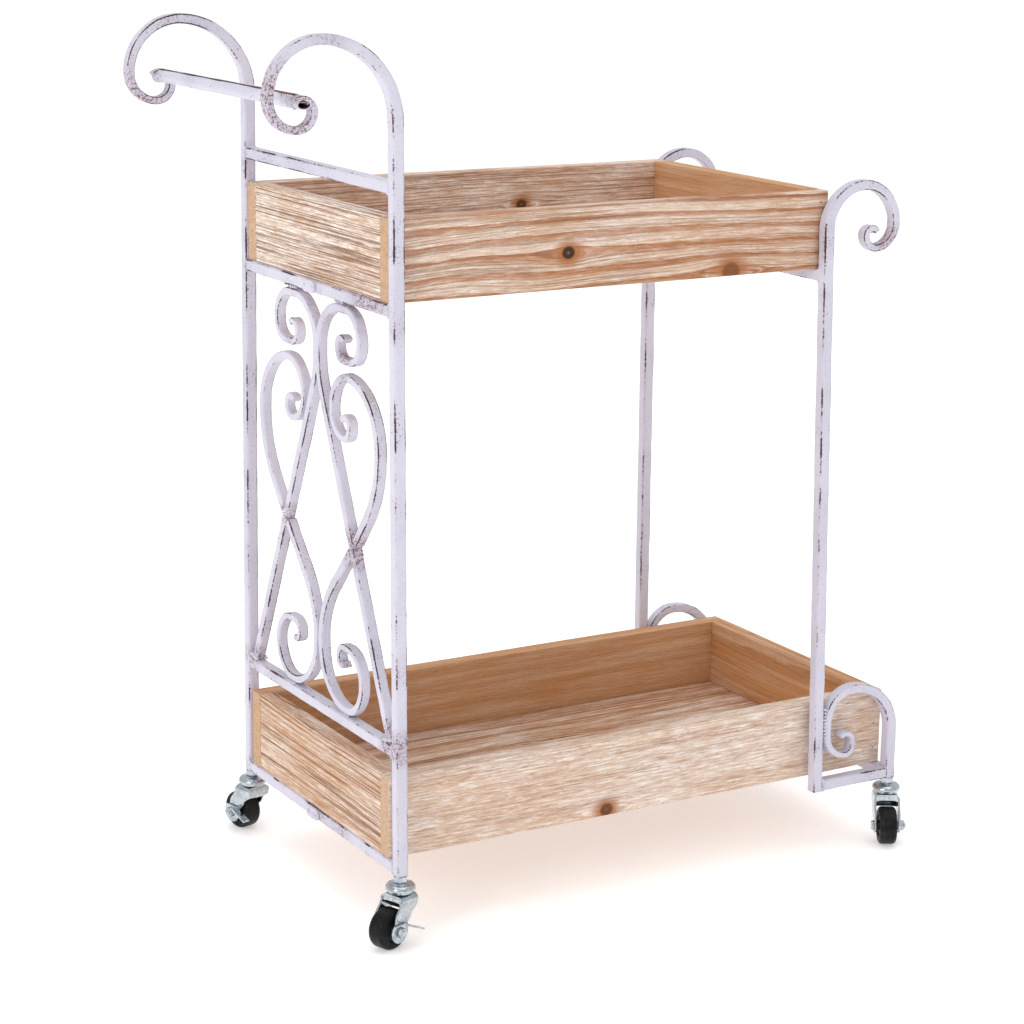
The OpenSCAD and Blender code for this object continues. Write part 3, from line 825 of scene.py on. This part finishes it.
# node, seed, finish, axis of the grain, (rings, saw lines, whitewash), stain
BOARDS = (
    ("upper_front_board", 3, "upper front", 0, (1.0, 0.5, 0.8), 0.05),
    ("upper_back_board", 11, "upper back", 0, (0.2, 0.6, 1.15), 0.1),
    ("upper_left_board", 5, "across", 1, (0.08, 0.8, 1.35), 0.0),
    ("upper_right_board", 8, "across", 1, (0.3, 0.1, 0.05), 0.75),
    ("lower_front_board", 21, "lower front", 0, (0.1, 0.2, 1.2), 0.0),
    ("lower_back_board", 14, "along", 0, (0.25, 0.1, 0.08), 0.8),
    ("lower_left_board", 17, "across", 1, (0.3, 0.8, 0.85), 0.45),
    ("lower_right_board", 19, "across", 1, (0.8, 0.3, 0.1), 0.9),
    ("upper_plank_1", 31, "floor", 0, (0.6, 0.4, 0.8), 0.5),
    ("upper_plank_2", 32, "floor", 0, (0.5, 0.4, 0.7), 0.4),
    ("upper_plank_3", 33, "floor", 0, (0.7, 0.4, 0.7), 0.6),
    ("lower_plank_1", 41, "floor", 0, (0.6, 0.7, 1.0), 0.42),
    ("lower_plank_2", 42, "floor", 0, (0.5, 0.7, 1.0), 0.38),
    ("lower_plank_3", 43, "floor", 0, (0.7, 0.7, 1.0), 0.52),
)
for entry in BOARDS:
    board(*entry)

brads = []
for level, depth in (("upper", 153), ("lower", 155)):
    low, high = (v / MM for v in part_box(level + "_front_board"))
    for s in (-1, 1):
        for x in (low.x + 9, high.x - 9):
            for f in (0.22, 0.55, 0.85):
                brads.append(((x, s * (depth - 0.15), low.z + (high.z - low.z) * f), (1.1, 0.35, 1.1)))
beads("tray_brads", brads, 0.1, "screw", "frame", "screw_steel")


# ---- casters ---------------------------------------------------------------

# Each swivel's axis in plan, in millimetres as designed, and how far its caster is turned, in degrees
CASTERS = {"fl": (6, -169, 200), "bl": (6, 169, 105), "fr": (588, -169, 240), "br": (588, 169, 150)}
TRAIL, AXLE_Z = 17, 20
STEM_HOLE = 4.3
LEG_Y, BEND_R, PLATE_MID = 12.6, 4.5, 50.75
# x by height: the legs' edges, and the sheets that join the legs
LEG_REAR = ((20, 9), (33, -0.5), (42, -9.5), (47, -10.6), (51, -10))
LEG_FRONT = ((20, 25), (31, 21.5), (45, 13.6), (51, 12))
BACK_WALL = ((33, 0.5), (42, -8.5), (47, -9.6), (51, -9.0))
FRONT_LIP = ((42, 11.2), (51, 10.6))


def lathe(name, profile, place, finish, steps=72, sharp=35):
    """Turns a closed (radius, height) outline about the local Z axis of place."""
    verts, faces = [], []
    n = len(profile)
    for k in range(steps):
        a = 2 * math.pi * k / steps
        verts += [place @ Vector((r * math.cos(a), r * math.sin(a), z)) for r, z in profile]
        m = (k + 1) % steps
        for i in range(n):
            j = (i + 1) % n
            faces.append((k * n + i, m * n + i, m * n + j, k * n + j))
    return solid(name, verts, faces, finish, sharp)


def rounded(profile, r, steps=4):
    """Rounds the corners of a closed outline by r."""
    out = []
    n = len(profile)
    for i in range(n):
        p, c, q = (Vector(profile[(i + k) % n]) for k in (-1, 0, 1))
        a = c + (p - c).normalized() * min(r, (p - c).length * 0.45)
        b = c + (q - c).normalized() * min(r, (q - c).length * 0.45)
        for k in range(steps + 1):
            t = k / steps
            out.append(tuple(a * (1 - t) ** 2 + c * 2 * t * (1 - t) + b * t ** 2))
    return out


TREAD = [(20 - (0.28 if k % 2 else 0.0), -5 + k) for k in range(11)]
WALL = [(14, 8.4), (14.6, 9), (15.6, 9), (15.9, 8.5), (16.5, 8.5), (16.8, 9), (17.6, 8.9), (18.9, 8.0),
        (19.7, 6.4)]
TYRE = rounded([(r, -z) for r, z in WALL] + TREAD + WALL[::-1], 0.4, 1)
DISC = [(3.1, 11.1), (5.4, 11.1), (5.8, 8.2), (9.5, 7.4), (11.6, 6.2), (12.4, 8.4), (14, 8.6)]
CORE = rounded([(r, -z) for r, z in DISC] + DISC[::-1], 0.6, 2)
CUP = rounded([(4.05, 62.4), (7.6, 62.4), (9.4, 61.6), (12.4, 60.8), (14.2, 59.2), (14.9, 57.2),
               (14.9, 55.8), (14.3, 55.4), (13.6, 55.4), (13.2, 53.1), (11.0, 53.1), (10.4, 56),
               (4.05, 56)], 0.5, 2)


def between(z, table):
    """Smooth value at height z from (height, value) pairs."""
    for (z0, v0), (z1, v1) in zip(table, table[1:]):
        if z <= z1:
            t = max(0.0, (z - z0) / (z1 - z0))
            return v0 + (v1 - v0) * t * t * (3 - 2 * t)
    return table[-1][1]


def leg_outline():
    """The sheet's middle line (y, z): from one leg's foot over the top plate to the other's."""
    line = []
    for k in range(9):
        line.append((LEG_Y, AXLE_Z - 7.9 * math.cos(math.radians(10 * k))))
    line += [(LEG_Y, AXLE_Z + 2.6 * k) for k in range(11)]
    for k in range(7):
        a = math.radians(15 * k)
        line.append((8.1 + BEND_R * math.cos(a), 46.25 + BEND_R * math.sin(a)))
    line += [(8.1 - 2.7 * k, PLATE_MID) for k in range(1, 4)]
    return line + [(-y, z) for y, z in reversed(line[:-1])]


def cross_sheet(corners, faces, place, edge, foot, rise):
    """Adds a closed sheet from leg to leg; edge gives its x by height, foot and rise its underside."""
    slots, levels = 16, 6
    tall = levels + 1
    start = len(corners)
    for side in (-1.0, 1.0):
        for k in range(slots + 1):
            t = 2 * k / slots - 1
            y = 12.4 * t
            under = foot + rise * (1 - t ** 4)
            top = 50.4
            if abs(y) >= 8:
                top = 46.2 + 4.2 * math.sqrt(max(0.0, 1 - ((abs(y) - 8) / BEND_R) ** 2))
            for j in range(tall):
                z = under + (top - under) * j / levels
                corners.append(place @ Vector((between(z, edge) + side, y, z)))
    far = start + (slots + 1) * tall
    for k in range(slots):
        for j in range(levels):
            p = k * tall + j
            faces.append((start + p, start + p + 1, start + p + tall + 1, start + p + tall))
            faces.append((far + p, far + p + tall, far + p + tall + 1, far + p + 1))
        for p in (k * tall, k * tall + levels):
            faces.append((start + p, start + p + tall, far + p + tall, far + p))
    for j in range(levels):
        for p in (j, slots * tall + j):
            faces.append((start + p, start + p + 1, far + p + 1, far + p))


def drilled(obj, place):
    """The object's mesh with the stem's hole through its top plate."""
    drill_mesh = bpy.data.meshes.new("drill")
    bm = bmesh.new()
    bmesh.ops.create_cone(
        bm, cap_ends=True, segments=48, radius1=STEM_HOLE * MM, radius2=STEM_HOLE * MM, depth=6 * MM,
        matrix=Matrix.Translation((place.translation + Vector((0, 0, PLATE_MID))) * MM),
    )
    bm.to_mesh(drill_mesh)
    bm.free()
    drill = bpy.data.objects.new("drill", drill_mesh)
    bpy.context.scene.collection.objects.link(drill)
    hole = obj.modifiers.new("stem hole", "BOOLEAN")
    hole.operation = "DIFFERENCE"
    hole.solver = "EXACT"
    hole.object = drill
    bpy.context.view_layer.update()
    mesh = plain(obj)
    bpy.data.objects.remove(drill)
    return mesh


def pressed_fork(name, place):
    """Sheet steel bent over the wheel: a top plate with rounded bends and legs that narrow to the axle."""
    line = leg_outline()
    across, half_sheet = 14, 1.05
    outer, inner = [], []
    n = len(line)
    for i, (y, z) in enumerate(line):
        ay, az = line[max(0, i - 1)]
        by, bz = line[min(n - 1, i + 1)]
        away = Vector((bz - az, ay - by)).normalized()
        if z <= AXLE_Z:
            reach = math.sqrt(max(0.5, 64 - (AXLE_Z - z) ** 2))
            low, high = TRAIL - reach, TRAIL + reach
        else:
            low, high = between(z, LEG_REAR), between(z, LEG_FRONT)
        for k in range(across + 1):
            x = low + (high - low) * k / across
            outer.append(place @ Vector((x, y + away.x * half_sheet, z + away.y * half_sheet)))
            inner.append(place @ Vector((x, y - away.x * half_sheet, z - away.y * half_sheet)))
    w = across + 1
    count = n * w
    faces = []
    for i in range(n - 1):
        for k in range(across):
            p = i * w + k
            faces.append((p, p + 1, p + w + 1, p + w))
            faces.append((count + p, count + p + w, count + p + w + 1, count + p + 1))
        for k in (0, across):
            p = i * w + k
            faces.append((p, p + w, count + p + w, count + p))
    for i in (0, n - 1):
        for k in range(across):
            p = i * w + k
            faces.append((p, p + 1, count + p + 1, count + p))
    corners = outer + inner
    cross_sheet(corners, faces, place, BACK_WALL, 34.6, 0.6)
    cross_sheet(corners, faces, place, FRONT_LIP, 43.5, 2.0)
    obj = solid(name, corners, faces, "zinc", 0)
    soften(obj, 0.45, 2, 50)
    return new_object(name, drilled(obj, place), 45)


for key, (cx, cy, turn) in CASTERS.items():
    swivel, wheel = f"swivel_{key}", f"wheel_{key}"
    upright = Matrix.Translation((cx - MID_X, cy, 0)) @ Matrix.Rotation(math.radians(turn), 4, "Z")
    axle = upright @ Matrix.Translation((TRAIL, 0, AXLE_Z)) @ Matrix.Rotation(math.radians(-90), 4, "X")
    keep(lathe(f"tyre_ring_{key}", TYRE, axle, "rubber", 96), wheel, "wheel_rubber", f"tyre_{key}")
    keep(lathe(f"wheel_hub_{key}", CORE, axle, "plastic", 72), wheel, "wheel_plastic", f"wheel_core_{key}")
    keep(lathe(f"race_cup_{key}", CUP, upright, "zinc", 72), "frame", "zinc", f"cup_{key}")
    keep(pressed_fork(f"pressed_fork_{key}", upright), swivel, "zinc", f"fork_{key}")
    keep(softened(f"axle_bolt_{key}", f"axle_{key}", "zinc", 0.5, 3), swivel, "zinc", f"axle_{key}")
    if key in ("fl", "bl"):
        tab = softened(f"brake_tab_{key}", f"brake_{key}", "zinc", 0.35, 2)
        keep(tab, f"lever_{key}", "zinc", f"brake_{key}")
keep(softened("stem_set", "caster_stems", "zinc", 0.3, 2), "frame", "zinc", "caster_stems")
keep(softened("stem_nuts", "caster_nuts", "zinc", 0.6, 3), "frame", "zinc", "caster_nuts")


# ---- camera, light and floor -----------------------------------------------

def camera():
    data = bpy.data.cameras.new("camera")
    data.sensor_width = 36
    data.lens = 91.21
    data.clip_end = 100
    cam = bpy.data.objects.new("camera", data)
    bpy.context.scene.collection.objects.link(cam)
    az, el, roll = math.radians(-30.189), math.radians(14.102), math.radians(0.672)
    back = Vector((math.sin(az) * math.cos(el), -math.cos(az) * math.cos(el), math.sin(el)))
    right = Vector((math.cos(az), math.sin(az), 0))
    up = back.cross(right)
    c, s = math.cos(roll), math.sin(roll)
    right, up = c * right + s * up, c * up - s * right
    turn = Matrix((right, up, back)).transposed().to_4x4()
    cam.matrix_world = Matrix.Translation((-1.30755, -2.21852, 1.00722)) @ turn
    bpy.context.scene.camera = cam


def lamp(name, place, target, size, watts, colour=(1, 1, 1)):
    data = bpy.data.lights.new(name, "AREA")
    data.shape = "RECTANGLE"
    data.size, data.size_y = size
    data.energy = watts
    data.color = colour
    obj = bpy.data.objects.new(name, data)
    bpy.context.scene.collection.objects.link(obj)
    away = Vector(place) - Vector(target)
    obj.matrix_world = Matrix.Translation(place) @ away.to_track_quat("Z", "Y").to_matrix().to_4x4()


def studio():
    world = bpy.data.worlds.new("studio")
    bpy.context.scene.world = world
    bpy.context.scene.view_settings.view_transform = "Standard"
    world.use_nodes = True
    world.node_tree.nodes["Background"].inputs["Color"].default_value = (1, 1, 1, 1)
    world.node_tree.nodes["Background"].inputs["Strength"].default_value = 0.74
    lamp("key", (-3.4, -1.7, 1.7), (0, 0, 0.45), (1.6, 1.6), 34, (1, 0.99, 0.97))
    lamp("top", (0.2, 0.3, 4.4), (0, 0, 0), (4.5, 4.5), 60)
    mesh = bpy.data.meshes.new("floor")
    r = 40
    mesh.from_pydata([(-r, -r, 0), (r, -r, 0), (r, r, 0), (-r, r, 0)], [], [(0, 1, 2, 3)])
    floor = new_object("floor", mesh, 0)
    m, b, shader, place = material("pale floor")
    tone = b.blend(b.noise(place, 3.0), (0.93, 0.93, 0.93), (0.96, 0.96, 0.96))
    wire_up(b, shader, tone)
    shader.inputs["Roughness"].default_value = 0.9
    shader.inputs["Specular IOR Level"].default_value = 0.2
    shader.inputs["Emission Color"].default_value = (1, 1, 1, 1)
    shader.inputs["Emission Strength"].default_value = 0.34
    mesh.materials.append(m)


camera()
studio()
